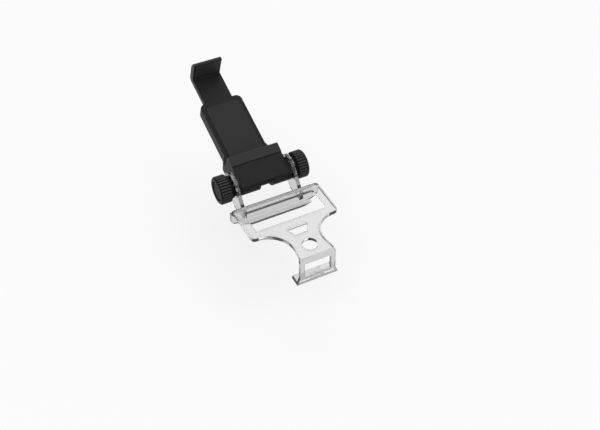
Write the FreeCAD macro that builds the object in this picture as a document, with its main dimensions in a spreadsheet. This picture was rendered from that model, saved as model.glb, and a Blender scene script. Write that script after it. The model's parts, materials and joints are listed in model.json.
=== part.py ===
import FreeCAD, Part
import math
import os
import re

import Sketcher
from FreeCAD import Vector

# A clear hooked bracket and the spring clamp that tilts on it. Millimetres and degrees.
# X points to the right along the hinge, Y from the front hook to the rear one, Z up out of the plate.
# The origin is the middle of the plate's large window, on the underside of the plate.

doc = FreeCAD.newDocument("controller_phone_clip")
sheet = doc.addObject("Spreadsheet::Sheet", "Sizes")

sizes = {
    # How far a cut runs past the material that it removes
    "cut_margin": 1.0,
    # Bracket plate and its windows
    "plate_thick": 2.2,
    "window_depth": 19.0,
    "window_corner": 1.2,
    "side_bar": 5.8,
    "rear_bar": 4.3,
    "front_bar": 6.5,
    "frame_corner": 3.0,
    "fold_width": 24.8,
    "neck_flare": 1.6,
    "speaker_rear_width": 15.0,
    "speaker_front_width": 8.2,
    "speaker_depth": 7.1,
    "speaker_inset": 10.5,
    "button_hole_radius": 5.0,
    "button_hole_inset": 9.1,
    "rim_width": 1.1,
    "rim_height": 0.5,
    # Hooks at the plate's rear and front edges
    "rear_width": 64.0,
    "rear_overhang": 1.2,
    "rear_drop": 12.0,
    "rear_lip": 3.0,
    "front_reach": 43.8,
    "front_drop": 18.8,
    "front_lip": 6.0,
    "lip_thick": 2.0,
    "foot_flare": 2.1,
    "foot_height": 5.4,
    "port_post": 3.2,
    "port_top": 3.0,
    "port_height": 10.4,
    "bend_outer": 1.9,
    "bend_inner": 1.0,
    # Arms and ears that carry the hinge
    "hinge_back": 17.5,
    "hinge_z": 5.4,
    "left_gap": 2.4,
    "right_gap": 0.2,
    "arm_thick": 2.6,
    "arm_slope": 53.3,
    "arm_root": 0.3,
    "arm_drop": 8.8,
    "arm_length": 15.0,
    "arm_corner": 1.2,
    "ear_radius": 9.6,
    # Hinge bolt and what is on it
    "bolt_radius": 2.0,
    "bolt_clearance": 0.08,
    "sleeve_wall": 0.95,
    "sleeve_clearance": 0.05,
    "ring_seat": 0.5,
    "ring_inner": 4.2,
    "ring_outer": 7.0,
    "washer_thick": 0.8,
    "washer_radius": 6.0,
    "nut_flats": 7.0,
    "nut_thick": 3.2,
    "head_thick": 2.8,
    "bolt_tail": 0.7,
    # Knobs
    "knob_radius": 9.6,
    "knob_gap": 0.3,
    "collar_radius": 7.7,
    "collar_length": 2.1,
    "knurl_length": 7.7,
    "knurl_count": 30,
    "groove_width": 1.0,
    "groove_depth": 0.75,
    "knob_web": 3.3,
    "nut_pocket_depth": 4.2,
    "cap_radius": 6.5,
    "cap_fit": 0.05,
    "cap_bevel": 0.5,
    "cap_inset": 0.4,
    "knob_bevel": 0.9,
    # Clamp shell, in the clamp's own tilted frame
    "clamp_tilt": 20.6,
    "barrel_radius": 8.0,
    "jaw_reach": 18.7,
    "jaw_lean": 1.7,
    "jaw_lip": 7.0,
    "jaw_nose": 0.6,
    "jaw_front": 5.5,
    "seam_reach": 10.4,
    "phone_drop": 5.6,
    "jaw_pad_thick": 1.2,
    "jaw_pad_proud": 0.8,
    "rest_pad_thick": 0.8,
    "rest_pad_margin": 3.0,
    "rest_pad_inset": 1.0,
    "rest_pad_corner": 3.0,
    "notch_width": 9.0,
    "notch_core": 4.6,
    "notch_top": 2.0,
    "recess_width": 11.0,
    "recess_depth": 0.5,
    "recess_top": 4.7,
    "tray_width": 31.0,
    "tray_shoulder": 2.7,
    "shoulder_length": 2.3,
    "tray_taper": 6.0,
    "tray_length": 51.3,
    "tray_corner": 4.0,
    "tray_face": 1.8,
    "channel_depth": 5.0,
    "channel_start": 12.0,
    "cover_thick": 1.8,
    "cover_start": 10.0,
    # Slider, spring and screws
    "jaw_opening": 73.9,
    "rail_gap": 0.3,
    "rail_engaged": 20.0,
    "hook_lean": 0.5,
    "hook_height": 7.8,
    "hook_slope": 0.9,
    "hook_base": 4.5,
    "hook_top": 2.9,
    "hook_heel": 3.0,
    "jaw_glass": 2.2,
    "upper_pad_margin": 2.0,
    "upper_pad_proud": 0.3,
    "upper_pad_seat": 0.7,
    "upper_pad_drop": 0.9,
    "upper_pad_inset": 1.4,
    "fork_width": 6.4,
    "fork_depth": 8.0,
    "travel_in": 19.0,
    "travel_out": 11.0,
    "peg_radius": 1.2,
    "peg_height": 1.0,
    "peg_inset": 4.0,
    "peg_gap": 0.15,
    "anchor_inset": 2.5,
    "anchor_radius": 1.25,
    "anchor_hold": 1.7,
    "slider_pin_radius": 1.0,
    "slider_pin_hold": 1.8,
    "slider_pin_back": 3.5,
    "pin_gap": 0.02,
    "spring_radius": 1.9,
    "spring_wire": 0.7,
    "spring_turns": 8,
    "spring_leg": 2.6,
    "screw_radius": 1.0,
    "screw_gap": 0.05,
    "screw_head": 1.9,
    "screw_head_thick": 0.9,
    "screw_length": 5.5,
    "drive_width": 0.5,
    "drive_length": 2.3,
    "screw_land": 0.4,
    "screw_inset": 4.0,
}

# Sizes worked out from the ones above, so that what touches or faces each other stays together
worked = {
    # Bracket, seen from above
    "frame_side": "rear_width / 2 - rear_overhang",
    "window_side": "frame_side - side_bar",
    "frame_front": "-window_depth / 2 - front_bar",
    "rear_reach": "window_depth / 2 + rear_bar",
    "rear_face": "rear_reach + plate_thick",
    "front_face": "front_reach + plate_thick",
    "neck_side": "fold_width / 2 - neck_flare",
    "stick_cut_x": "frame_side - frame_corner",
    "stick_cut_radius": "stick_cut_x - neck_side",
    "stick_cut_y": "window_depth / 2 + front_bar + stick_cut_radius",
    "flare_run": "front_face - stick_cut_y",
    "flare_radius": "(neck_flare ^ 2 + flare_run ^ 2) / (2 * neck_flare)",
    "speaker_y": "window_depth / 2 + speaker_inset",
    "button_hole_y": "front_reach - button_hole_inset",
    "foot_side": "fold_width / 2 + foot_flare",
    "port_side": "fold_width / 2 - port_post",
    "arm_reach": "rear_face + arm_length",
    # Hinge, whose hardware sits in the middle between the ears
    "hinge_x": "(right_gap - left_gap) / 2",
    "hinge_y": "rear_face + hinge_back",
    "ear_inner": "(clamp_width + left_gap + right_gap) / 2",
    "ear_outer": "ear_inner + arm_thick",
    "washer_outer": "ear_outer + washer_thick",
    "collar_start": "ear_outer + knob_gap",
    "knurl_start": "collar_start + collar_length",
    "knob_end": "knurl_start + knurl_length",
    "pocket_start": "washer_outer + knob_web",
    "cap_start": "pocket_start + nut_pocket_depth",
    # Clamp, in its own frame: widths, places up the slide, and heights out of the tray's face
    "clamp_width": "tray_width + 2 * tray_shoulder",
    "rail_width": "tray_width - 2 * (rail_gap + tray_wall)",
    "tray_wall": "2 * (screw_head + screw_gap + screw_land)",
    "screw_x": "(tray_width - tray_wall) / 2",
    "peg_x": "(rail_width + fork_width) / 4",
    "tray_start": "jaw_reach + shoulder_length",
    "tray_end": "jaw_reach + tray_length",
    "upper_jaw": "jaw_reach + jaw_opening",
    "rail_tail": "tray_end - rail_engaged",
    "peg_u": "tray_end - peg_inset",
    "anchor_u": "channel_start + anchor_inset",
    "anchor_length": "rail_width + 2 * (rail_gap + anchor_hold)",
    "slider_pin_u": "rail_tail + slider_pin_back",
    "slider_pin_length": "fork_width + 2 * slider_pin_hold",
    "rest_pad_side": "tray_width / 2 - rest_pad_margin",
    "upper_pad_width": "rail_width - 2 * upper_pad_margin",
    "screw_first": "tray_start + tray_taper + screw_inset",
    "screw_last": "tray_end - tray_corner - screw_inset",
    "tray_level": "-phone_drop - rest_pad_thick",
    "channel_floor": "tray_level - tray_face",
    "cover_level": "channel_floor - channel_depth",
    "back_level": "cover_level - cover_thick",
    "rail_top": "channel_floor - rail_gap",
    "rail_bottom": "cover_level + rail_gap",
    "spring_level": "(channel_floor + cover_level) / 2",
    "back_reach": "sqrt(cover_start ^ 2 + cover_level ^ 2)",
    "back_tangent": "atan2(cover_level; cover_start) - acos(barrel_radius / back_reach)",
}

for line, (word, size) in enumerate(sizes.items(), 1):
    sheet.set(f"A{line}", word)
    sheet.set(f"B{line}", str(size))
    sheet.setAlias(f"B{line}", word)
doc.recompute()

size_word = re.compile(r"\b(" + "|".join(sizes) + r")\b")
worked_word = re.compile(r"\b(" + "|".join(worked) + r")\b")


def spell_out(formula):
    # Puts each worked size's own formula in its place
    while worked_word.search(formula):
        formula = worked_word.sub(lambda found: f"({worked[found[0]]})", formula)
    return formula


def link(formula):
    # Points each size's word at the sheet's cell
    return size_word.sub(r"Sizes.\1", spell_out(formula))


def number(formula):
    return float(sheet.evalExpression(spell_out(formula)))


def point(corner):
    return Vector(number(corner[0]), number(corner[1]), 0)


# Places of the three frames that the pieces are built in
clamp_frame = "placement(vector(0; hinge_y; hinge_z); rotation(vector(1; 0; 0); clamp_tilt * 1 deg))"
right_frame = "placement(vector(hinge_x; hinge_y; hinge_z); rotation(vector(0; 0; 1); 0 deg))"
left_frame = "placement(vector(hinge_x; hinge_y; hinge_z); rotation(vector(0; 0; 1); 180 deg))"

def new_body(label, place=None):
    body = doc.addObject("PartDesign::Body", label)
    body.Label = label
    if place:
        body.setExpression("Placement", link(place))
    return body


def new_sketch(body, plane, name, offset=None):
    sketch = body.newObject("Sketcher::SketchObject", name)
    support = [item for item in body.Origin.OriginFeatures if item.Role == plane][0]
    sketch.AttachmentSupport = [(support, "")]
    sketch.MapMode = "FlatFace"
    if offset:
        sketch.setExpression("AttachmentOffset.Base.z", link(offset))
    return sketch


def arc_edge(start, end, radius, side):
    # A side of 1 bends the arc anticlockwise from start to end, and -1 clockwise
    chord = end - start
    half = chord.Length / 2
    rise = math.sqrt(max(radius ** 2 - half ** 2, 0))
    across = Vector(-chord.y, chord.x, 0).normalize()
    centre = (start + end) / 2 + across * rise * side
    first, last = (start, end) if side > 0 else (end, start)
    circle = Part.Circle(centre, Vector(0, 0, 1), radius)
    angles = [math.atan2(spot.y - centre.y, spot.x - centre.x) for spot in (first, last)]
    return Part.ArcOfCircle(circle, angles[0], angles[1])


def draw_loop(sketch, corners):
    # Each corner is (x, y) before a straight edge, or (x, y, radius, side) before an arc
    first = sketch.GeometryCount
    spots = [point(corner) for corner in corners]
    count = len(corners)
    ends = []
    rules = []
    formulas = []
    for step, corner in enumerate(corners):
        start = spots[step]
        end = spots[(step + 1) % count]
        if len(corner) == 2:
            sketch.addGeometry(Part.LineSegment(start, end), False)
            ends.append((1, 2))
        else:
            sketch.addGeometry(arc_edge(start, end, number(corner[2]), corner[3]), False)
            ends.append((1, 2) if corner[3] > 0 else (2, 1))
    for step, corner in enumerate(corners):
        before = (step - 1) % count
        edge = first + step
        rules.append(Sketcher.Constraint("Coincident", first + before, ends[before][1], edge, ends[step][0]))
        formulas.append(None)
        for kind, formula, size in zip(("DistanceX", "DistanceY"), corner, (spots[step].x, spots[step].y)):
            rules.append(Sketcher.Constraint(kind, -1, 1, edge, ends[step][0], size))
            formulas.append(formula)
        if len(corner) == 4:
            rules.append(Sketcher.Constraint("Radius", edge, number(corner[2])))
            formulas.append(corner[2])
    add_rules(sketch, rules, formulas)


def draw_circle(sketch, x, y, radius):
    edge = sketch.GeometryCount
    centre = point((x, y))
    sketch.addGeometry(Part.Circle(centre, Vector(0, 0, 1), number(radius)), False)
    rules = [
        Sketcher.Constraint("DistanceX", -1, 1, edge, 3, centre.x),
        Sketcher.Constraint("DistanceY", -1, 1, edge, 3, centre.y),
        Sketcher.Constraint("Radius", edge, number(radius)),
    ]
    add_rules(sketch, rules, [x, y, radius])


def draw_box(sketch, x_low, y_low, x_high, y_high):
    draw_loop(sketch, [(x_low, y_low), (x_high, y_low), (x_high, y_high), (x_low, y_high)])


def draw_round_box(sketch, half_width, y_low, y_high, radius):
    # A rectangle about the y axis with round corners
    inset = f"({half_width} - {radius})"
    draw_loop(sketch, [
        (inset, y_low, radius, 1),
        (half_width, f"{y_low} + {radius}"),
        (half_width, f"{y_high} - {radius}", radius, 1),
        (inset, y_high),
        (f"-{inset}", y_high, radius, 1),
        (f"-{half_width}", f"{y_high} - {radius}"),
        (f"-{half_width}", f"{y_low} + {radius}", radius, 1),
        (f"-{inset}", y_low),
    ])


def draw_hexagon(sketch, flats):
    corner = f"({flats} / sqrt(3))"
    draw_loop(sketch, [
        (corner, "0"),
        (f"{corner} / 2", f"{flats} / 2"),
        (f"-{corner} / 2", f"{flats} / 2"),
        (f"-{corner}", "0"),
        (f"-{corner} / 2", f"-{flats} / 2"),
        (f"{corner} / 2", f"-{flats} / 2"),
    ])


def add_rules(sketch, rules, formulas):
    base = sketch.ConstraintCount
    sketch.addConstraint(rules)
    for step, formula in enumerate(formulas):
        if formula is not None:
            sketch.setExpression(f"Constraints[{base + step}]", link(formula))


def pad(body, sketch, length, both=False, reverse=False):
    feature = body.newObject("PartDesign::Pad", sketch.Name + "_pad")
    feature.Profile = sketch
    feature.setExpression("Length", link(length))
    feature.SideType = "Symmetric" if both else "One side"
    feature.Reversed = reverse
    return settle(body, feature, 1)


def pocket(body, sketch, length, both=False, reverse=False):
    feature = body.newObject("PartDesign::Pocket", sketch.Name + "_cut")
    feature.Profile = sketch
    feature.setExpression("Length", link(length))
    feature.SideType = "Symmetric" if both else "One side"
    feature.Reversed = reverse
    return settle(body, feature, -1)


def settle(body, feature, growth):
    # A pad has to add material and a pocket has to remove some
    before = feature.BaseFeature.Shape.Volume if feature.BaseFeature else 0
    renew(feature)
    change = feature.Shape.Volume - before
    if change * growth <= 0:
        raise ValueError(f"{feature.Name} changes nothing")
    return feature


def renew(feature):
    doc.recompute()
    if feature.Shape.isNull() or "Invalid" in feature.State:
        raise ValueError(f"{feature.Name} fails")


def revolve(body, sketch, growth=1):
    kind = "PartDesign::Revolution" if growth > 0 else "PartDesign::Groove"
    feature = body.newObject(kind, sketch.Name + "_turned")
    feature.Profile = sketch
    feature.ReferenceAxis = (sketch, ["H_Axis"])
    feature.Angle = 360
    return settle(body, feature, growth)


def edges_where(feature, test):
    return [f"Edge{place}" for place, edge in enumerate(feature.Shape.Edges, 1) if test(edge.BoundBox)]


def round_edges(body, feature, name, radius, test):
    names = edges_where(feature, test)
    if not names:
        raise ValueError(f"{name} finds no edge")
    fillet = body.newObject("PartDesign::Fillet", name)
    fillet.Base = (feature, names)
    fillet.setExpression("Radius", link(radius))
    renew(fillet)
    return fillet


def bevel_edges(body, feature, name, width, test):
    names = edges_where(feature, test)
    if not names:
        raise ValueError(f"{name} finds no edge")
    chamfer = body.newObject("PartDesign::Chamfer", name)
    chamfer.Base = (feature, names)
    chamfer.setExpression("Size", link(width))
    renew(chamfer)
    return chamfer


def near(first, second, slack=0.02):
    return abs(first - second) < slack


def flat_x(box, x):
    return near(box.XMin, x) and near(box.XMax, x)


def flat_y(box, y):
    return near(box.YMin, y) and near(box.YMax, y)


def flat_z(box, z):
    return near(box.ZMin, z) and near(box.ZMax, z)


def mirror_feature(body, feature, plane):
    copy = body.newObject("PartDesign::Mirrored", feature.Name + "_mirrored")
    copy.Originals = [feature]
    support = [item for item in body.Origin.OriginFeatures if item.Role == plane][0]
    copy.MirrorPlane = (support, [""])
    body.Tip = copy
    renew(copy)
    return copy


def backwards(corners):
    # The same run of corners drawn from its last corner to its first
    run = [corners[-1][:2]]
    for corner, before in zip(corners[::-1], corners[-2::-1]):
        if len(before) == 4:
            run[-1] = corner[:2] + (before[2], -before[3])
        run.append(before[:2])
    return run


def mirrored(corner):
    return (f"-({corner[0]})", corner[1]) + ((corner[2], -corner[3]) if len(corner) == 4 else ())


def flipped(corners):
    # The run on the other side of the y axis that closes the loop
    return [mirrored(corner) for corner in backwards(corners)]


# Bracket
def plate_side(inset, front):
    # The plate's right edge from the rear corner to the front fold, moved inwards by the inset
    return [
        (f"frame_side - {inset}", f"rear_reach - frame_corner - {inset}"),
        (f"frame_side - {inset}", "frame_front + frame_corner", f"frame_corner - {inset}", -1),
        ("stick_cut_x", f"frame_front + {inset}", f"stick_cut_radius + {inset}", 1),
        (f"neck_side - {inset}", "-stick_cut_y", f"flare_radius + {inset}", 1),
        (f"fold_width / 2 - {inset}", f"-{front}"),
    ]


def make_bracket():
    body = new_body("clear_bracket")

    plan = new_sketch(body, "XY_Plane", "plate_plan")
    right = [
        ("rear_width / 2 - frame_corner", "rear_face", "frame_corner", -1),
        ("rear_width / 2", "rear_face - frame_corner"),
    ] + plate_side("0", "front_face")
    draw_loop(plan, right + flipped(right))
    plate = pad(body, plan, "plate_thick")

    hook = new_sketch(body, "YZ_Plane", "rear_hook")
    draw_loop(hook, [
        ("rear_face", "0"),
        ("rear_reach - bend_inner", "0", "bend_inner", -1),
        ("rear_reach", "-bend_inner"),
        ("rear_reach", "-rear_drop + lip_thick"),
        ("rear_reach - rear_lip", "-rear_drop + lip_thick"),
        ("rear_reach - rear_lip", "-rear_drop"),
        ("rear_face", "-rear_drop"),
    ])
    pad(body, hook, "rear_width", both=True)

    front = new_sketch(body, "YZ_Plane", "front_hook")
    draw_loop(front, [
        ("-front_face", "0"),
        ("-front_face", "-front_drop"),
        ("-front_reach + front_lip", "-front_drop"),
        ("-front_reach + front_lip", "-front_drop + lip_thick"),
        ("-front_reach", "-front_drop + lip_thick"),
        ("-front_reach", "-bend_inner", "bend_inner", -1),
        ("-front_reach + bend_inner", "0"),
    ])
    pad(body, front, "2 * foot_side", both=True)

    # The front wall keeps the fold's width down to the flared foot
    trim = new_sketch(body, "XZ_Plane", "front_trim", "front_face + cut_margin")
    trim_side = [
        ("foot_side + cut_margin", "-front_drop"),
        ("foot_side", "-front_drop"),
        ("fold_width / 2", "-front_drop + foot_height"),
        ("fold_width / 2", "0"),
        ("foot_side + cut_margin", "0"),
    ]
    draw_loop(trim, trim_side)
    draw_loop(trim, flipped(trim_side))
    pocket(body, trim, "plate_thick + front_lip + 2 * cut_margin")

    corners = new_sketch(body, "XZ_Plane", "rear_trim", "-rear_face - cut_margin")
    corner_side = [
        ("rear_width / 2 + cut_margin", "-rear_drop - cut_margin"),
        ("rear_width / 2 - 4 * frame_corner", "-rear_drop - cut_margin"),
        ("rear_width / 2 - 4 * frame_corner", "-rear_drop"),
        ("rear_width / 2 - frame_corner", "-rear_drop + frame_corner", "frame_corner", 1),
        ("rear_width / 2", "-rear_drop + 2 * frame_corner"),
        ("rear_width / 2 + cut_margin", "-rear_drop + 2 * frame_corner"),
    ]
    draw_loop(corners, corner_side)
    draw_loop(corners, flipped(corner_side))
    pocket(body, corners, "plate_thick + rear_lip + 2 * cut_margin", reverse=True)

    rim = new_sketch(body, "XY_Plane", "rim_plan", "plate_thick")
    draw_loop(rim, plate_side("0", "front_reach") + backwards(plate_side("rim_width", "front_reach")))
    rim_pad = pad(body, rim, "rim_height")
    mirror_feature(body, rim_pad, "YZ_Plane")

    windows = new_sketch(body, "XY_Plane", "face_windows", "plate_thick")
    draw_round_box(windows, "window_side", "-window_depth / 2", "window_depth / 2", "window_corner")
    speaker = [
        ("speaker_rear_width / 2", "-speaker_y + speaker_depth / 2"),
        ("speaker_front_width / 2", "-speaker_y - speaker_depth / 2"),
    ]
    draw_loop(windows, speaker + flipped(speaker))
    draw_circle(windows, "0", "-button_hole_y", "button_hole_radius")
    pocket(body, windows, "plate_thick + cut_margin")

    port = new_sketch(body, "XZ_Plane", "port_window", "front_face + cut_margin")
    draw_box(port, "-port_side", "-port_top - port_height", "port_side", "-port_top")
    cut = pocket(body, port, "plate_thick + 2 * cut_margin")

    top = number("plate_thick")
    front_y = -number("front_face")
    rear_y = number("rear_face")
    round_edges(body, cut, "outer_bends", "bend_outer",
                lambda box: flat_z(box, top) and (flat_y(box, front_y) or flat_y(box, rear_y)))

    for hand, start in (("right", "hinge_x + ear_inner"), ("left", "hinge_x - ear_outer")):
        arm = new_sketch(body, "YZ_Plane", f"{hand}_arm_plan", start)
        draw_loop(arm, arm_outline())
        pad(body, arm, "arm_thick")
    holes = new_sketch(body, "YZ_Plane", "ear_holes", "hinge_x")
    draw_circle(holes, "hinge_y", "hinge_z", "bolt_radius + bolt_clearance")
    pocket(body, holes, "2 * ear_outer + 2 * cut_margin", both=True)
    return body


def arm_outline():
    # A side plate: sloping front edge tangent to the ear, level lower edge, short rear edge
    slope = "(arm_slope * 1 deg)"
    front_y = f"(hinge_y - ear_radius * sin{slope})"
    front_z = f"(hinge_z + ear_radius * cos{slope})"
    foot_z = f"{front_z} - ({front_y} - rear_face) * tan{slope}"
    root_y = "(rear_face - arm_root)"
    return [
        (root_y, foot_z),
        ("rear_face", foot_z),
        (front_y, front_z, "ear_radius", -1),
        ("hinge_y", "hinge_z + ear_radius", "ear_radius", -1),
        ("hinge_y + ear_radius", "hinge_z", "ear_radius", -1),
        ("hinge_y", "hinge_z - ear_radius"),
        ("arm_reach", "-arm_drop + arm_corner"),
        ("arm_reach - arm_corner", "-arm_drop"),
        (root_y, "-arm_drop"),
    ]


# Clamp shell
def make_front_shell():
    body = new_body("clamp_front_shell", clamp_frame)
    side = new_sketch(body, "YZ_Plane", "shell_side")
    front_start = "(-sqrt(barrel_radius ^ 2 - jaw_front ^ 2))"
    draw_loop(side, [
        (front_start, "jaw_front", "barrel_radius", 1),
        ("-barrel_radius", "0", "barrel_radius", 1),
        ("barrel_radius * cos(back_tangent)", "barrel_radius * sin(back_tangent)"),
        ("cover_start", "cover_level"),
        ("tray_end", "cover_level"),
        ("tray_end", "tray_level"),
    ] + jaw_core() + [("seam_reach", "jaw_front")])
    pad(body, side, "clamp_width", both=True)

    trim = new_sketch(body, "XY_Plane", "tray_trim", "cover_level - cut_margin")
    edge = [
        ("clamp_width / 2 + cut_margin", "tray_start"),
        ("clamp_width / 2", "tray_start"),
        ("tray_width / 2", "tray_start + tray_taper"),
        ("tray_width / 2", "tray_end - tray_corner", "tray_corner", 1),
        ("tray_width / 2 - tray_corner", "tray_end"),
        ("tray_width / 2 - tray_corner", "tray_end + cut_margin"),
        ("clamp_width / 2 + cut_margin", "tray_end + cut_margin"),
    ]
    draw_loop(trim, edge)
    draw_loop(trim, flipped(edge))
    pocket(body, trim, "tray_face + channel_depth + 2 * cut_margin", reverse=True)

    channel = new_sketch(body, "XY_Plane", "slider_channel", "cover_level")
    draw_box(channel, "-rail_width / 2 - rail_gap", "channel_start",
             "rail_width / 2 + rail_gap", "tray_end + cut_margin")
    pocket(body, channel, "channel_depth", reverse=True)

    bore = new_sketch(body, "YZ_Plane", "barrel_bore")
    draw_circle(bore, "0", "0", "bolt_radius + bolt_clearance + sleeve_wall + sleeve_clearance")
    pocket(body, bore, "clamp_width + 2 * cut_margin", both=True)

    seat = new_sketch(body, "YZ_Plane", "ring_seat_plan", "clamp_width / 2 - ring_seat")
    draw_circle(seat, "0", "0", "ring_outer + sleeve_clearance")
    right_seat = pocket(body, seat, "ring_seat + cut_margin", reverse=True)
    mirror_feature(body, right_seat, "YZ_Plane")

    notch = new_sketch(body, "YZ_Plane", "notch_side")
    draw_loop(notch, [
        ("-barrel_radius - cut_margin", "-barrel_radius - cut_margin"),
        ("0", "-barrel_radius - cut_margin"),
        ("0", "-notch_core"),
        ("-notch_core", "-notch_core"),
        ("-notch_core", "notch_top"),
        ("-barrel_radius - cut_margin", "notch_top"),
    ])
    pocket(body, notch, "notch_width", both=True)
    recess = new_sketch(body, "YZ_Plane", "recess_side")
    floor = "(barrel_radius - recess_depth)"
    draw_loop(recess, [
        ("-barrel_radius - cut_margin", "notch_top"),
        (f"-sqrt({floor} ^ 2 - notch_top ^ 2)", "notch_top", floor, -1),
        (f"-sqrt({floor} ^ 2 - recess_top ^ 2)", "recess_top"),
        ("-barrel_radius - cut_margin", "recess_top"),
    ])
    pocket(body, recess, "recess_width", both=True)

    slot = new_sketch(body, "XY_Plane", "anchor_slot", "cover_level")
    slot_side = "(anchor_length / 2 + screw_gap)"
    draw_box(slot, f"-{slot_side}", "anchor_u - anchor_radius - screw_gap",
             slot_side, "anchor_u + anchor_radius + screw_gap")
    pocket(body, slot, "spring_level - cover_level + anchor_radius + screw_gap", reverse=True)

    pilots = new_sketch(body, "XY_Plane", "screw_pilots", "cover_level")
    for across in ("screw_x", "-screw_x"):
        for u in ("screw_first", "screw_last"):
            draw_circle(pilots, across, u, "screw_radius + screw_gap")
    pocket(body, pilots, "screw_length - screw_head_thick", reverse=True)
    return body


def jaw_core():
    # The lower jaw under its rubber, from the tray over the lip to the seam
    return [
        ("jaw_reach - jaw_pad_thick", "tray_level"),
        ("jaw_reach - jaw_pad_thick", "jaw_glass"),
        ("jaw_reach - jaw_lean - jaw_pad_thick", "jaw_lip - jaw_pad_thick"),
        ("seam_reach", "jaw_front + jaw_pad_proud - jaw_pad_thick"),
    ]


def make_back_cover():
    body = new_body("clamp_back_cover", clamp_frame)
    plan = new_sketch(body, "XY_Plane", "cover_plan", "cover_level")
    edge = [
        ("clamp_width / 2", "cover_start"),
        ("clamp_width / 2", "tray_start"),
        ("tray_width / 2", "tray_start + tray_taper"),
        ("tray_width / 2", "tray_end - tray_corner", "tray_corner", 1),
        ("tray_width / 2 - tray_corner", "tray_end"),
    ]
    draw_loop(plan, edge + flipped(edge))
    plate = pad(body, plan, "cover_thick", reverse=True)
    bottom = number("back_level")
    bevel_edges(body, plate, "cover_edge", "cover_thick / 3", lambda box: flat_z(box, bottom))

    # The lower end carries on the slope of the barrel's back
    slope = new_sketch(body, "YZ_Plane", "cover_slope")
    draw_loop(slope, [
        ("cover_start", "cover_level"),
        ("cover_start", "back_level - cut_margin"),
        ("cover_start + tan(back_tangent) * (cover_thick + cut_margin)", "back_level - cut_margin"),
    ])
    pocket(body, slope, "clamp_width + 2 * cut_margin", both=True)

    peg = new_sketch(body, "XY_Plane", "stop_peg", "cover_level")
    draw_circle(peg, "peg_x", "peg_u", "peg_radius")
    pad(body, peg, "peg_height")

    holes = new_sketch(body, "XY_Plane", "screw_holes", "cover_level")
    heads = new_sketch(body, "XY_Plane", "screw_seats", "back_level")
    for across in ("screw_x", "-screw_x"):
        for u in ("screw_first", "screw_last"):
            draw_circle(holes, across, u, "screw_radius + screw_gap")
            draw_circle(heads, across, u, "screw_head + screw_gap")
    pocket(body, holes, "cover_thick + cut_margin")
    pocket(body, heads, "screw_head_thick", reverse=True)
    return body


def make_jaw_pad():
    body = new_body("lower_jaw_pad", clamp_frame)
    side = new_sketch(body, "YZ_Plane", "jaw_pad_side")
    draw_loop(side, [
        ("jaw_reach", "tray_level"),
        ("jaw_reach", "jaw_glass"),
        ("jaw_reach - jaw_lean + jaw_nose", "jaw_lip - jaw_nose"),
        ("jaw_reach - jaw_lean", "jaw_lip"),
        ("seam_reach", "jaw_front + jaw_pad_proud"),
    ] + backwards(jaw_core()))
    pad(body, side, "clamp_width", both=True)
    return body


def make_rest_pad():
    body = new_body("backrest_pad", clamp_frame)
    plan = new_sketch(body, "XY_Plane", "rest_pad_plan", "tray_level")
    draw_round_box(plan, "rest_pad_side", "(tray_start + rest_pad_inset)",
                   "(tray_end - tray_corner)", "rest_pad_corner")
    pad(body, plan, "rest_pad_thick")
    return body


def make_slider():
    body = new_body("jaw_slider", clamp_frame)
    face = "(upper_jaw + upper_pad_proud)"
    outer = f"({face} + hook_base)"
    side = new_sketch(body, "YZ_Plane", "slider_side")
    draw_loop(side, [
        ("rail_tail", "rail_bottom"),
        (f"{outer} - hook_heel", "rail_bottom", "hook_heel", 1),
        (outer, "rail_bottom + hook_heel"),
        (outer, "jaw_glass"),
        (f"{face} - hook_lean + hook_top", "hook_height - hook_slope"),
        (f"{face} - hook_lean", "hook_height"),
        (face, "jaw_glass"),
        (face, "rail_top"),
        ("rail_tail", "rail_top"),
    ])
    pad(body, side, "rail_width", both=True)

    seat = new_sketch(body, "YZ_Plane", "upper_pad_seat")
    draw_loop(seat, upper_pad_outline())
    pocket(body, seat, "upper_pad_width", both=True)

    fork = new_sketch(body, "XY_Plane", "fork_plan", "rail_bottom")
    draw_box(fork, "-fork_width / 2", "rail_tail - cut_margin",
             "fork_width / 2", "rail_tail + fork_depth")
    pocket(body, fork, "channel_depth", reverse=True)

    pin = new_sketch(body, "YZ_Plane", "slider_pin_hole")
    draw_circle(pin, "slider_pin_u", "spring_level", "slider_pin_radius + pin_gap")
    pocket(body, pin, "slider_pin_length + 2 * pin_gap", both=True)

    groove = new_sketch(body, "XY_Plane", "stop_groove", "rail_bottom")
    half = "(peg_radius + peg_gap)"
    low = f"(peg_u - travel_out - {half})"
    high = f"(peg_u + travel_in + {half})"
    draw_loop(groove, [
        (f"peg_x - {half}", f"{low} + {half}", half, 1),
        ("peg_x", low, half, 1),
        (f"peg_x + {half}", f"{low} + {half}"),
        (f"peg_x + {half}", f"{high} - {half}", half, 1),
        ("peg_x", high, half, 1),
        (f"peg_x - {half}", f"{high} - {half}"),
    ])
    cut = pocket(body, groove, "peg_height", reverse=True)

    tops = [number("hook_height"), number("hook_height - hook_slope")]
    broad = number("rail_width") / 2
    round_edges(body, cut, "hook_edges", "hook_top / 5",
                lambda box: box.XLength > broad and (flat_z(box, tops[0]) or flat_z(box, tops[1])))
    return body


def upper_pad_outline():
    # The pad follows the hook's inner face and stands a little proud of it
    back = "(upper_jaw + upper_pad_proud + upper_pad_seat)"
    low = "(-phone_drop - upper_pad_drop)"
    high = "(hook_height - upper_pad_inset)"
    lean = f"(hook_lean * ({high} - jaw_glass) / (hook_height - jaw_glass))"
    return [
        ("upper_jaw", low),
        (back, low),
        (back, "jaw_glass"),
        (f"{back} - {lean}", high),
        (f"upper_jaw - {lean}", high),
        ("upper_jaw", "jaw_glass"),
    ]


def make_upper_pad():
    body = new_body("upper_jaw_pad", clamp_frame)
    side = new_sketch(body, "YZ_Plane", "upper_pad_side")
    draw_loop(side, upper_pad_outline())
    pad(body, side, "upper_pad_width", both=True)
    return body


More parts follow.
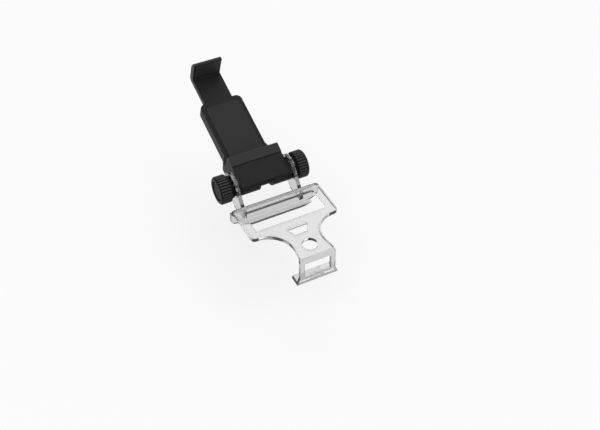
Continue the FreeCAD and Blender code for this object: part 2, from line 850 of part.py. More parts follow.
def make_cross_pin(label, u, radius, length):
    body = new_body(label, clamp_frame)
    plan = new_sketch(body, "YZ_Plane", label + "_plan")
    draw_circle(plan, u, "spring_level", radius)
    pin = pad(body, plan, length, both=True)
    bevel_edges(body, pin, label + "_ends", f"{radius} / 5", lambda box: near(box.XLength, 0))
    return body


def make_screws():
    solids = []
    radius = number("screw_radius")
    head = number("screw_head")
    head_thick = number("screw_head_thick")
    back = number("back_level")
    long = number("drive_length")
    thin = number("drive_width")
    for across in (number("screw_x"), -number("screw_x")):
        for u in (number("screw_first"), number("screw_last")):
            shank = Part.makeCylinder(radius, number("screw_length"), Vector(across, u, back))
            disc = Part.makeCylinder(head, head_thick, Vector(across, u, back))
            drive = Part.makeBox(thin, long, thin, Vector(across - thin / 2, u - long / 2, back))
            cross = Part.makeBox(long, thin, thin, Vector(across - long / 2, u - thin / 2, back))
            solids.append(shank.fuse(disc).removeSplitter().cut(drive).cut(cross))
    screws = doc.addObject("Part::Feature", "cover_screws")
    screws.Label = "cover_screws"
    screws.Shape = Part.makeCompound(solids)
    screws.setExpression("Placement", link(clamp_frame))
    return screws


def make_spring():
    # Open coils between two end loops, each round its pin
    coil = number("spring_radius")
    wire = number("spring_wire") / 2
    level = number("spring_level")
    low = number("anchor_u")
    high = number("slider_pin_u")
    leg = number("spring_leg")
    turns = number("spring_turns")
    run = high - low - 2 * leg
    helix = Part.makeHelix(run / turns, run, coil)
    start = Vector(coil, 0, 0)
    outward = Vector(1, 0, 0)
    ahead = Vector(0, 2 * math.pi * coil, run / turns).normalize()
    upward = outward.cross(ahead)
    # The coils' wire has six sides and the round wire's area
    sides = 6
    reach = wire * math.sqrt(2 * math.pi / sides / math.sin(2 * math.pi / sides))
    corners = []
    for step in range(sides + 1):
        angle = 2 * math.pi * step / sides
        corners.append(start + (outward * math.cos(angle) + upward * math.sin(angle)) * reach)
    body = Part.Wire(helix.Edges).makePipeShell([Part.makePolygon(corners)], True, True)
    turn = FreeCAD.Rotation(Vector(1, 0, 0), -90)
    body.Placement = FreeCAD.Placement(Vector(0, low + leg, level), turn)
    solids = [body]
    across = Vector(1, 0, 0)
    for u, way in ((low, 1), (high, -1)):
        loop = Part.makeTorus(coil, wire, Vector(0, u, level), across)
        solids.append(loop)
        stem_start = u + way * coil
        stem = Part.makeCylinder(wire, leg - coil + wire, Vector(0, stem_start, level), Vector(0, way, 0))
        spoke = Part.makeCylinder(wire, coil, Vector(0, u + way * leg, level), across)
        knee = Part.makeSphere(wire, Vector(0, u + way * leg, level))
        elbow = Part.makeSphere(wire, Vector(coil, u + way * leg, level))
        solids += [stem, spoke, knee, elbow]
    spring = doc.addObject("Part::Feature", "clamp_spring")
    spring.Label = "clamp_spring"
    spring.Shape = solids[0].multiFuse(solids[1:])
    spring.setExpression("Placement", link(clamp_frame))
    return spring


# Hinge hardware and knobs
def make_sleeve():
    body = new_body("barrel_sleeve", clamp_frame)
    plan = new_sketch(body, "YZ_Plane", "sleeve_plan")
    draw_circle(plan, "0", "0", "bolt_radius + bolt_clearance + sleeve_wall")
    draw_circle(plan, "0", "0", "bolt_radius + bolt_clearance")
    pad(body, plan, "clamp_width - 2 * ring_seat", both=True)
    return body


def make_ring(label, place, gap):
    # Fills the gap between the shell's end and the ear, from its seat in the shell
    body = new_body(label, place)
    plan = new_sketch(body, "YZ_Plane", label + "_plan", f"ear_inner - {gap} - ring_seat")
    draw_circle(plan, "0", "0", "ring_outer")
    draw_circle(plan, "0", "0", "ring_inner")
    pad(body, plan, f"{gap} + ring_seat")
    return body


def make_washer(label, place):
    body = new_body(label, place)
    plan = new_sketch(body, "YZ_Plane", label + "_plan", "ear_outer")
    draw_circle(plan, "0", "0", "washer_radius")
    draw_circle(plan, "0", "0", "bolt_radius + bolt_clearance")
    pad(body, plan, "washer_thick")
    return body


def make_knob(label, place):
    body = new_body(label, place)
    profile = new_sketch(body, "XY_Plane", label + "_profile")
    bore = "bolt_radius + bolt_clearance"
    cap_seat = "cap_radius + cap_fit"
    draw_loop(profile, [
        ("washer_outer", bore),
        ("pocket_start", bore),
        ("pocket_start", "nut_flats / 2"),
        ("cap_start", "nut_flats / 2"),
        ("cap_start", cap_seat),
        ("knob_end", cap_seat),
        ("knob_end", "knob_radius - knob_bevel"),
        ("knob_end - knob_bevel", "knob_radius"),
        ("knurl_start + knob_bevel / 2", "knob_radius"),
        ("knurl_start", "knob_radius - knob_bevel / 2"),
        ("knurl_start", "collar_radius"),
        ("collar_start", "collar_radius"),
        ("collar_start", "washer_radius + cap_fit"),
        ("washer_outer", "washer_radius + cap_fit"),
    ])
    revolve(body, profile)

    pocket_plan = new_sketch(body, "YZ_Plane", label + "_nut_pocket", "pocket_start")
    draw_hexagon(pocket_plan, "(nut_flats + 2 * cap_fit)")
    pocket(body, pocket_plan, "nut_pocket_depth", reverse=True)

    groove = new_sketch(body, "YZ_Plane", label + "_groove", "knurl_start")
    draw_loop(groove, [
        ("-groove_width / 2", "knob_radius + cut_margin / 2"),
        ("-groove_width / 4", "knob_radius - groove_depth"),
        ("groove_width / 4", "knob_radius - groove_depth"),
        ("groove_width / 2", "knob_radius + cut_margin / 2"),
    ])
    first = pocket(body, groove, "knurl_length", reverse=True)
    pattern = body.newObject("PartDesign::PolarPattern", label + "_knurl")
    pattern.Originals = [first]
    axis = [item for item in body.Origin.OriginFeatures if item.Role == "X_Axis"][0]
    pattern.Axis = (axis, [""])
    pattern.Angle = 360
    pattern.setExpression("Occurrences", link("knurl_count"))
    body.Tip = pattern
    renew(pattern)
    return body


def make_cap(label, place):
    body = new_body(label, place)
    profile = new_sketch(body, "XY_Plane", label + "_profile")
    face = "(knob_end - cap_inset)"
    draw_loop(profile, [
        ("cap_start", "0"),
        (face, "0"),
        (face, "cap_radius - cap_bevel"),
        (f"{face} - cap_bevel", "cap_radius"),
        ("cap_start", "cap_radius"),
    ])
    revolve(body, profile)
    return body


def make_bolt():
    body = new_body("pivot_bolt", left_frame)
    head = new_sketch(body, "YZ_Plane", "bolt_head", "pocket_start")
    draw_hexagon(head, "nut_flats")
    pad(body, head, "head_thick")
    shank = new_sketch(body, "YZ_Plane", "bolt_shank", "pocket_start")
    draw_circle(shank, "0", "0", "bolt_radius")
    shank_pad = pad(body, shank, "2 * pocket_start + nut_thick + bolt_tail", reverse=True)
    end = number("-pocket_start - nut_thick - bolt_tail")
    bevel_edges(body, shank_pad, "bolt_end", "bolt_radius / 5", lambda box: flat_x(box, end))
    return body


def make_nut():
    body = new_body("pivot_nut", right_frame)
    plan = new_sketch(body, "YZ_Plane", "nut_plan", "pocket_start")
    draw_hexagon(plan, "nut_flats")
    draw_circle(plan, "0", "0", "bolt_radius + bolt_clearance / 2")
    pad(body, plan, "nut_thick")
    return body


pieces = [
    make_bracket(),
    make_front_shell(),
    make_back_cover(),
    make_jaw_pad(),
    make_rest_pad(),
    make_slider(),
    make_upper_pad(),
    make_cross_pin("spring_anchor_pin", "anchor_u", "anchor_radius", "anchor_length"),
    make_cross_pin("slider_spring_pin", "slider_pin_u", "slider_pin_radius", "slider_pin_length"),
    make_screws(),
    make_spring(),
    make_sleeve(),
    make_bolt(),
    make_nut(),
]
for hand, place in (("left", left_frame), ("right", right_frame)):
    pieces.append(make_ring(f"{hand}_friction_ring", place, f"{hand}_gap"))
    pieces.append(make_washer(f"{hand}_washer", place))
    pieces.append(make_knob(f"{hand}_knob", place))
    pieces.append(make_cap(f"{hand}_knob_cap", place))

doc.recompute()

for item in doc.Objects:
    if "Invalid" in item.State or "Error" in item.State:
        raise RuntimeError(f"{item.Label} failed: {item.State}")
for piece in pieces:
    if piece.Shape.isNull() or not piece.Shape.isValid():
        raise RuntimeError(f"{piece.Label} has no valid shape")

os.makedirs("parts", exist_ok=True)
for piece in pieces:
    piece.Shape.exportStep(f"parts/{piece.Label}.step")
    print(piece.Label, len(piece.Shape.Solids), round(piece.Shape.Volume, 1))
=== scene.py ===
import json
import math

import bmesh
import bpy
from mathutils import Matrix, Vector
from mathutils.bvhtree import BVHTree
from mathutils.geometry import intersect_point_line
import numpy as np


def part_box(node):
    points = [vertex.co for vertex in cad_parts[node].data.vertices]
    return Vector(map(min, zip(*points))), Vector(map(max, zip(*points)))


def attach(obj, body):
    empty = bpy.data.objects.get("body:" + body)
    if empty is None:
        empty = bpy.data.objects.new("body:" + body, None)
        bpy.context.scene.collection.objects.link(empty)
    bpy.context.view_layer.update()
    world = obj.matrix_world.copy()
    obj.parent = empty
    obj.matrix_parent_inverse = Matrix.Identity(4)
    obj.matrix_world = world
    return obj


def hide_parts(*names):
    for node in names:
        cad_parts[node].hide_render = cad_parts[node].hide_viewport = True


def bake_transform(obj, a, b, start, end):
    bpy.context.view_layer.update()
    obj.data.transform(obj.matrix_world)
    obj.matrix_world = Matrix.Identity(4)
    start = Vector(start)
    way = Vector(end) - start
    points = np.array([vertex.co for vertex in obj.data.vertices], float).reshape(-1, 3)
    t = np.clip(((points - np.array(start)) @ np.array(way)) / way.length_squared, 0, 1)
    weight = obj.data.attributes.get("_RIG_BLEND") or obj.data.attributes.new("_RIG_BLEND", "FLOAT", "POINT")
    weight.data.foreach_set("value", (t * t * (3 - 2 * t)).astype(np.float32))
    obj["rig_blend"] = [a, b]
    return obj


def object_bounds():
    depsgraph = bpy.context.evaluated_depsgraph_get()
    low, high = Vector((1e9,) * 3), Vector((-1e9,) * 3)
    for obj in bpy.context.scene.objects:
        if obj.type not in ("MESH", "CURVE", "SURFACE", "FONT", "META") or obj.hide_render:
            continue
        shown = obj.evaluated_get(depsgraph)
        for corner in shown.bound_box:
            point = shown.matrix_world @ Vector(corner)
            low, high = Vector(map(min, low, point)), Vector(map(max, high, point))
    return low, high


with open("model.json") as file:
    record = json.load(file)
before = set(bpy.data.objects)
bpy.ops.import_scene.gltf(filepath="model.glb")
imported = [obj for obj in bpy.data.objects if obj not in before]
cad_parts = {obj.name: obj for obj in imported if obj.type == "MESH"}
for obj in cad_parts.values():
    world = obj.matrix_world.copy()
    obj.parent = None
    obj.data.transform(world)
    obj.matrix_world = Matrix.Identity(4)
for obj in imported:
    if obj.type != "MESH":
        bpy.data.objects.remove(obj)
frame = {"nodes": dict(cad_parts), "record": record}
cadLow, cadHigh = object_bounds()
nodes = frame["nodes"]
record = frame["record"]
bodies = record["behaviour"]["bodies"]
bodyOf = {member: body for body, members in bodies.items() for member in members}
slotOf = {row["node"]: row["material_slot"] for row in record["subparts"]}
joints = {row["name"]: row for row in record["behaviour"]["joints"]}
hinge = Vector(joints["tilt"]["pos_m"])
slideWay = Vector(joints["jaw_slide"]["axis"]).normalized()
trayUp = Vector((1, 0, 0)).cross(slideWay)
mm = 0.001  # the scene is in metres, and the dictionaries hold millimetres and degrees
print("frame loaded:", len(nodes), "nodes")


def middle(node):
    low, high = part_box(node)
    return (Vector(low) + Vector(high)) / 2


# Camera, at the photograph's own viewing angle
viewpoint = {
    "azimuth": -27.34,
    "elevation": 43.11,
    "distance": 628.2,
    "target": (6.54, -8.72, 2.2),
    "lens": 58.56,
    "sensor": 36.0,
    "clipStart": 10.0,
    "clipEnd": 20000.0,
}


def makeCamera():
    data = bpy.data.cameras.new("camera")
    data.lens = viewpoint["lens"]
    data.sensor_width = viewpoint["sensor"]
    data.clip_start = viewpoint["clipStart"] * mm
    data.clip_end = viewpoint["clipEnd"] * mm
    camera = bpy.data.objects.new("camera", data)
    bpy.context.scene.collection.objects.link(camera)
    turn = math.radians(viewpoint["azimuth"])
    lift = math.radians(viewpoint["elevation"])
    back = Vector((math.sin(turn) * math.cos(lift), -math.cos(turn) * math.cos(lift), math.sin(lift)))
    camera.location = Vector(viewpoint["target"]) * mm + back * viewpoint["distance"] * mm
    camera.rotation_mode = "QUATERNION"
    camera.rotation_quaternion = (-back).to_track_quat("-Z", "Y")
    bpy.context.scene.camera = camera


makeCamera()
print("camera ready")


# Shader maths: a Signal wraps one socket, and an expression on signals adds its Math nodes
class Signal:
    def __init__(self, network, socket):
        self.network = network
        self.socket = socket

    def combine(self, operation, *values):
        return self.network.signal("ShaderNodeMath", {"operation": operation}, dict(enumerate(values)))

    def __add__(self, other):
        return self.combine("ADD", self, other)

    __radd__ = __add__

    def __sub__(self, other):
        return self.combine("SUBTRACT", self, other)

    def __rsub__(self, other):
        return self.combine("SUBTRACT", other, self)

    def __mul__(self, other):
        return self.combine("MULTIPLY", self, other)

    __rmul__ = __mul__

    def __pow__(self, other):
        return self.combine("POWER", self, other)

    def __gt__(self, other):
        return self.combine("GREATER_THAN", self, other)

    def __abs__(self):
        return self.combine("ABSOLUTE", self)


class Network:
    # One node tree, whose nodes all come from add
    def __init__(self, tree):
        self.tree = tree
        self.tree.nodes.clear()

    def add(self, kind, settings=None, sockets=None):
        # A node's settings come first, and then the values or links of its sockets
        node = self.tree.nodes.new(kind)
        for word, value in (settings or {}).items():
            setattr(node, word, value)
        self.feed(node, sockets or {})
        return node

    def feed(self, node, sockets):
        for socket, value in sockets.items():
            if isinstance(value, Signal):
                self.tree.links.new(value.socket, node.inputs[socket])
            else:
                node.inputs[socket].default_value = value

    def signal(self, kind, settings=None, sockets=None, out=0):
        return Signal(self, self.add(kind, settings, sockets).outputs[out])


class Finish(Network):
    # One material, with its Principled shader and the piece's own Object coordinates
    def __init__(self, name):
        self.material = bpy.data.materials.new(name)
        self.material.use_nodes = True
        super().__init__(self.material.node_tree)
        self.shader = self.add("ShaderNodeBsdfPrincipled")
        self.surface = Signal(self, self.shader.outputs[0])
        self.output = self.add("ShaderNodeOutputMaterial", sockets={"Surface": self.surface})
        self.place = self.signal("ShaderNodeTexCoord", out="Object")

    def set(self, **inputs):
        self.feed(self.shader, {word.replace("_", " "): value for word, value in inputs.items()})

    def noise(self, scale, detail, roughness=0.5):
        sockets = {"Vector": self.place, "Scale": scale, "Detail": detail, "Roughness": roughness}
        return self.signal("ShaderNodeTexNoise", sockets=sockets)

    def axis(self, letter):
        return self.signal("ShaderNodeSeparateXYZ", sockets={"Vector": self.place}, out=letter)

    def ramp(self, value, low, high):
        # 0 below low, 1 above high, and even in between
        sockets = {"Value": value, "From Min": low, "From Max": high}
        return self.signal("ShaderNodeMapRange", {"clamp": True}, sockets)

    def edgeWearAndHighlight(self):
        return self.signal("ShaderNodeAttribute", {"attribute_name": "edgeWearAndHighlight"}, out="Fac")

    def blendColour(self, factor, first, second):
        # A Mix node's colours are its inputs 6 and 7, and its output 2
        sockets = {"Factor": factor, 6: first, 7: second}
        return self.signal("ShaderNodeMix", {"data_type": "RGBA"}, sockets, out=2)

    def bump(self, height, depth):
        sockets = {"Strength": 1.0, "Distance": depth * mm, "Height": height}
        self.set(Normal=self.signal("ShaderNodeBump", sockets=sockets))


def grey(level):
    # A display grey from 0 to 255, as the shader's linear colour
    part = level / 255
    linear = part / 12.92 if part <= 0.04045 else ((part + 0.055) / 1.055) ** 2.4
    return (linear, linear, linear, 1.0)


# Greys from 0 to 255, the shader's roughness and shine, and the grain's fineness and its depth
mouldedLook = {
    "shell": {
        "dark": 34, "light": 40, "wearAndHighlight": 56, "rough": 0.44, "shine": 0.07, "grain": 2600, "depth": 0.010,
    },
    # The slider's edge grey is set lighter, a painted highlight along its top edges as well as wear
    "slider": {
        "dark": 30, "light": 37, "wearAndHighlight": 80, "rough": 0.40, "shine": 0.10, "grain": 2600, "depth": 0.008,
    },
    "knob": {
        "dark": 20, "light": 26, "wearAndHighlight": 44, "rough": 0.42, "shine": 0.04, "grain": 2200, "depth": 0.008,
    },
}
# Noise scales, and how far each noise moves the colour or the roughness
mouldedSkin = {
    "flow": 120.0,
    "flowRough": 0.10,
    "grainRough": 0.06,
    "wearAndHighlightBreakup": 300.0,
    "breakupFrom": 0.35,
    "breakupFull": 0.6,
    "wearAndHighlightShare": 0.6,
    "rubbedGloss": 0.08,
}


def mouldedPlastic(name, look):
    # Satin black plastic with a fine spark-eroded grain, faint flow marks, and edges polished by handling
    # whose lighter colour is partly wear and partly a painted highlight
    skin = mouldedSkin
    finish = Finish(name)
    flow = finish.noise(skin["flow"], detail=3.0, roughness=0.55)
    grain = finish.noise(look["grain"], detail=2.0, roughness=0.6)
    wearAndHighlightBreakup = finish.noise(skin["wearAndHighlightBreakup"], detail=3.0, roughness=0.6)
    # Lighter edges: partly handling wear, partly a painted highlight along the edges, broken into patches
    wearAndHighlight = finish.edgeWearAndHighlight() * finish.ramp(wearAndHighlightBreakup, skin["breakupFrom"], skin["breakupFull"])
    plain = finish.blendColour(flow, grey(look["dark"]), grey(look["light"]))
    rough = flow * skin["flowRough"] + grain * skin["grainRough"] - wearAndHighlight * skin["rubbedGloss"]
    finish.set(
        Base_Color=finish.blendColour(wearAndHighlight * skin["wearAndHighlightShare"], plain, grey(look["wearAndHighlight"])),
        Roughness=rough + (look["rough"] - (skin["flowRough"] + skin["grainRough"]) / 2),
        Specular_IOR_Level=look["shine"],
    )
    finish.bump(grain, look["depth"])
    return finish


# Radii about the hinge, how far the end faces are from the knobs' middle, and the greys of the painted
# groove shade and rib highlight with their shares
knurlLook = {
    "floor": 8.8,
    "floorFade": 0.05,
    "ribFoot": 9.15,
    "top": 9.5,
    "end": 31.3,
    "groove": 6,
    "grooveShare": 0.9,
    "ribHighlight": 66,
    "ribHighlightShare": 0.8,
}


def knurledPlastic(name, look):
    # The knobs' plastic, with painted shade down in the grooves and a painted highlight on the ribs' tops
    finish = mouldedPlastic(name, look)
    plain = Signal(finish, finish.shader.inputs["Base Color"].links[0].from_socket)  # the moulded colour
    across = finish.axis("Y") - hinge.y
    above = finish.axis("Z") - hinge.z
    reach = (across * across + above * above) ** 0.5
    between = (middle("left_knob").x + middle("right_knob").x) / 2
    side = 1 - (abs(finish.axis("X") - between) > knurlLook["end"] * mm)
    floor = knurlLook["floor"] * mm
    # Painted shade: the colour darkens down in the grooves, away from the end faces
    groove = finish.ramp(reach, floor - knurlLook["floorFade"] * mm, floor) * side
    # Painted highlight: the colour lightens towards the ribs' tops
    ribHighlight = finish.ramp(reach, knurlLook["ribFoot"] * mm, knurlLook["top"] * mm)
    grooveShaded = finish.blendColour(groove * knurlLook["grooveShare"], plain, grey(knurlLook["groove"]))
    finish.set(Base_Color=finish.blendColour(ribHighlight * knurlLook["ribHighlightShare"], grooveShaded, grey(knurlLook["ribHighlight"])))
    return finish


rubberLook = {
    "jaw": {"dark": 25, "light": 32, "rough": 0.60, "shine": 0.3, "grain": 3200, "depth": 0.015},
    "rest": {"dark": 30, "light": 38, "rough": 0.72, "shine": 0.25, "grain": 2400, "depth": 0.03},
    "ring": {"dark": 18, "light": 24, "rough": 0.7, "shine": 0.25, "grain": 2800, "depth": 0.02},
}
rubberSkin = {"cloud": 90.0, "cloudShare": 0.4, "speckRough": 0.15, "roughDrop": 0.07, "bloom": 0.04}


def softRubber(name, look):
    # Matt rubber: a fine speck over broader clouds, and a faint bloom
    skin = rubberSkin
    finish = Finish(name)
    speck = finish.noise(look["grain"], detail=3.0, roughness=0.65)
    cloud = finish.noise(skin["cloud"], detail=2.0)
    mottle = speck * (1 - skin["cloudShare"]) + cloud * skin["cloudShare"]
    finish.set(
        Base_Color=finish.blendColour(mottle, grey(look["dark"]), grey(look["light"])),
        Roughness=speck * skin["speckRough"] + (look["rough"] - skin["roughDrop"]),
        Specular_IOR_Level=look["shine"],
        Sheen_Weight=skin["bloom"],
    )
    finish.bump(speck, look["depth"])
    return finish


metalLook = {
    "plain": {"dark": 150, "light": 178, "rough": 0.28, "grain": 1400},
    "spring": {"dark": 140, "light": 165, "rough": 0.22, "grain": 2500},
    "black": {"dark": 40, "light": 52, "rough": 0.35, "grain": 2000},
}
metalSkin = {"roughSpread": 0.12, "depth": 0.004}


def turnedMetal(name, look):
    # Metal as it leaves the lathe or the plating bath, a little uneven in shade and gloss
    finish = Finish(name)
    cloud = finish.noise(look["grain"], detail=3.0, roughness=0.6)
    finish.set(
        Base_Color=finish.blendColour(cloud, grey(look["dark"]), grey(look["light"])),
        Metallic=1.0,
        Roughness=cloud * metalSkin["roughSpread"] + (look["rough"] - metalSkin["roughSpread"] / 2),
    )
    finish.bump(cloud, metalSkin["depth"])
    return finish


clearLook = {
    "tint": 222,
    "ior": 1.585,
    "rough": 0.03,
    "haze": 700.0,
    "hazeRough": 0.02,
    "ripple": 45.0,
    "rippleDepth": 0.01,
    "smokeTint": 150,
    "smoke": 80.0,
}


def clearPlastic(name, look):
    # Polished polycarbonate: faint moulding ripple, and a smoky depth seen through the edges
    finish = Finish(name)
    finish.set(
        Base_Color=grey(look["tint"]),
        Roughness=finish.noise(look["haze"], detail=2.0) * look["hazeRough"] + look["rough"],
        IOR=look["ior"],
        Transmission_Weight=1.0,
    )
    finish.bump(finish.noise(look["ripple"], detail=2.0, roughness=0.4), look["rippleDepth"])
    smoke = {"Color": grey(look["smokeTint"]), "Density": look["smoke"]}
    finish.feed(finish.output, {"Volume": finish.signal("ShaderNodeVolumeAbsorption", sockets=smoke)})
    return finish


finishes = {
    "clear_plastic": clearPlastic("clearPlastic", clearLook),
    "shell_plastic": mouldedPlastic("shellPlastic", mouldedLook["shell"]),
    "slider_plastic": mouldedPlastic("sliderPlastic", mouldedLook["slider"]),
    "knob_plastic": knurledPlastic("knobPlastic", mouldedLook["knob"]),
    "jaw_rubber": softRubber("jawRubber", rubberLook["jaw"]),
    "rest_rubber": softRubber("restRubber", rubberLook["rest"]),
    "ring_rubber": softRubber("ringRubber", rubberLook["ring"]),
    "steel": turnedMetal("zincSteel", metalLook["plain"]),
    "spring_steel": turnedMetal("springSteel", metalLook["spring"]),
    "black_steel": turnedMetal("blackSteel", metalLook["black"]),
}
print("materials ready:", len(finishes))


# Pieces: each solid's copy gets its edges rounded as a mould or a lathe leaves them
edgeRounding = {
    "clear_bracket": 0.22,
    "clamp_front_shell": 0.23,
    "clamp_back_cover": 0.2,
    "jaw_slider": 0.25,
    "lower_jaw_pad": 0.2,
    "upper_jaw_pad": 0.2,
    "backrest_pad": 0.2,
    "left_knob": 0.1,
    "right_knob": 0.1,
    "left_knob_cap": 0.12,
    "right_knob_cap": 0.12,
    "left_friction_ring": 0.15,
    "right_friction_ring": 0.15,
    "left_washer": 0.14,
    "right_washer": 0.14,
    "pivot_nut": 0.2,
    "barrel_sleeve": 0.1,
    "spring_anchor_pin": 0.1,
    "slider_spring_pin": 0.1,
    "cover_screws": 0.07,
}
bevelSettings = {
    "merge": 0.0005,  # corners of the solid's loose triangles this close are one
    "flat": 0.6,  # faces that meet within this angle are one
    "sharp": 26.0,  # edges with a wider angle are rounded
    "segments": 2,
    "astray": 0.6,  # how far from the solid a rounding may reach, in widths
    "reach": 1.2,  # how far round a cramped place edges stay sharp, in widths
    "tries": 6,
}
shading = {"smooth": 50.0, "flatness": 50}


def linkPiece(name, mesh, material):
    mesh.materials.clear()
    mesh.materials.append(material)
    piece = bpy.data.objects.new(name, mesh)
    bpy.context.scene.collection.objects.link(piece)
    # Broad flat faces keep their own normals, and only the roundings between them are shaded round
    flatness = piece.modifiers.new("flatness", "WEIGHTED_NORMAL")
    flatness.weight = shading["flatness"]
    flatness.keep_sharp = True
    return piece


def finishPiece(name, mesh, node):
    # The piece that takes a solid's place
    mesh.shade_smooth()
    mesh.set_sharp_from_angle(angle=math.radians(shading["smooth"]))
    piece = linkPiece(name, mesh, finishes[slotOf[node]].material)
    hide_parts(node)
    return piece


def distanceTo(edge, place):
    start, end = (vert.co for vert in edge.verts)
    part = intersect_point_line(place, start, end)[1]
    return (start.lerp(end, min(max(part, 0.0), 1.0)) - place).length


def crampedPlaces(shape, skin, width):
    # Where roundings had no room: they left the solid's skin, or ran through another face
    places = {}

    def note(place, away):
        cell = tuple(round(value / width) for value in place)
        if away >= places.get(cell, (None, 0.0))[1]:
            places[cell] = (place.copy(), away)

    for vert in shape.verts:
        away = skin.find_nearest(vert.co)[3]
        if away > bevelSettings["astray"] * width:
            note(vert.co, away)
    faces = list(shape.faces)
    own = BVHTree.FromBMesh(shape)
    for first, second in own.overlap(own):
        pair = (faces[first], faces[second])
        if first < second and not set(pair[0].verts) & set(pair[1].verts):
            for vert in min(pair, key=lambda face: face.calc_area()).verts:
                note(vert.co, 0.0)
    return list(places.values())


def plainCopy(node):
    plain = bmesh.new()
    plain.from_mesh(nodes[node].data)
    plain.verts.layers.float.new("edgeWearAndHighlight")
    bmesh.ops.remove_doubles(plain, verts=plain.verts, dist=bevelSettings["merge"] * mm)
    flat = math.radians(bevelSettings["flat"])
    bmesh.ops.dissolve_limit(plain, angle_limit=flat, verts=plain.verts, edges=plain.edges)
    return plain


def roundedCopy(node, width):
    plain = plainCopy(node)
    skin = BVHTree.FromBMesh(plain)
    edges = list(plain.edges)
    sharp = math.radians(bevelSettings["sharp"])
    picked = [spot for spot, edge in enumerate(edges)
              if edge.is_manifold and edge.calc_face_angle(0) > sharp]
    room = bevelSettings["reach"] * width * mm
    for attempt in range(bevelSettings["tries"]):
        # The last try narrows every rounding instead of leaving the cramped edges sharp
        last = attempt == bevelSettings["tries"] - 1
        shape = plain.copy()
        shape.edges.ensure_lookup_table()
        rounded = bmesh.ops.bevel(shape, geom=[shape.edges[spot] for spot in picked], offset=width * mm,
                                  offset_type="OFFSET", affect="EDGES", segments=bevelSettings["segments"],
                                  profile=0.5, material=-1, clamp_overlap=last)
        places = [] if last else crampedPlaces(shape, skin, width * mm)
        if not places:
            break
        picked = [spot for spot in picked
                  if all(distanceTo(edges[spot], place) > room + away for place, away in places)]
        shape.free()
    plain.free()
    # The middle line of each rounding is marked, for the polish that handling gives to edges and for a
    # painted highlight along them
    wearAndHighlight = shape.verts.layers.float["edgeWearAndHighlight"]
    strip = set(rounded["faces"])
    for vert in rounded["verts"]:
        if all(face in strip for face in vert.link_faces):
            vert[wearAndHighlight] = 1.0
    print("  ", node, "edges rounded:", len(picked))
    mesh = bpy.data.meshes.new(node + "_rounded")
    shape.to_mesh(mesh)
    shape.free()
    return mesh


for node, width in edgeRounding.items():
    piece = finishPiece(node + "_finished", roundedCopy(node, width), node)
    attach(piece, bodyOf[node])

print("moulded and turned pieces ready:", len(edgeRounding))


# Tension spring: one wire, hooked round both pins, with its coils drawn apart
springWire = {
    "wire": 0.7,
    "coil": 1.9,
    "turns": 20,
    "leg": 2.9,
    "perTurn": 14,
    "hookGap": 0.12,  # share of a turn that each hook leaves open
    "anchorPin": 1.25,
    "sliderPin": 1.0,
}


def springPath(length):
    # Local places: y along the slide, z out of the tray, origin at the anchor pin
    coil = springWire["coil"]
    wire = springWire["wire"]
    inner = coil - wire / 2
    nearHook = inner - springWire["anchorPin"]
    farHook = length - (inner - springWire["sliderPin"])
    perTurn = springWire["perTurn"]
    gap = springWire["hookGap"]
    hookTurns = [math.tau * (gap + (1 - gap) * step / perTurn) for step in range(perTurn + 1)]
    low = springWire["leg"]
    high = length - springWire["leg"]
    steps = springWire["turns"] * perTurn
    path = [Vector((0, nearHook + coil * math.cos(turn), coil * math.sin(turn))) for turn in hookTurns]
    path.append(Vector((0, low - wire, 0)))
    for step in range(steps + 1):
        turn = math.tau * step / perTurn
        along = low + (high - low) * step / steps
        path.append(Vector((coil * math.cos(turn), along, coil * math.sin(turn))))
    path.append(Vector((0, high + wire, 0)))
    for turn in reversed(hookTurns):
        path.append(Vector((0, farHook - coil * math.cos(turn), -coil * math.sin(turn))))
    return path


def makeSpring():
    start = middle("spring_anchor_pin")
    end = middle("slider_spring_pin")
    toRow = Matrix((Vector((1, 0, 0)), slideWay, trayUp)).transposed()
    path = springPath((end - start).length / mm)
    curve = bpy.data.curves.new("springWire", "CURVE")
    curve.dimensions = "3D"
    spline = curve.splines.new("NURBS")
    spline.points.add(len(path) - 1)
    for spot, place in zip(spline.points, path):
        spot.co = (start + toRow @ (place * mm)).to_tuple() + (1.0,)
    spline.use_endpoint_u = True
    spline.order_u = 3
    curve.resolution_u = 2
    curve.bevel_depth = springWire["wire"] / 2 * mm
    curve.bevel_resolution = 2
    curve.use_fill_caps = True
    wire = bpy.data.objects.new("springWire", curve)
    mesh = bpy.data.meshes.new_from_object(wire)
    bpy.data.objects.remove(wire)
    piece = finishPiece("coilSpring", mesh, "clamp_spring")
    leg = slideWay * springWire["leg"] * mm
    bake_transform(piece, "clamp", "slider", start=start + leg, end=end - leg)


makeSpring()
print("spring ready")


# Hinge bolt: hexagon head, plain shank and a rolled thread for the nut
boltShape = {
    "flats": 7.0,
    "head": 2.8,
    "chamfer": 0.35,
    "radius": 2.0,
    "core": 1.64,
    "thread": 11.0,
    "pitch": 0.7,
    "ridge": 0.56,  # a ridge's width at its foot
    "ridgeSunk": 0.1,
    "lap": 0.2,  # how far the shank runs into the head, and the core into the shank
    "sides": 32,
    "perTurn": 24,
}


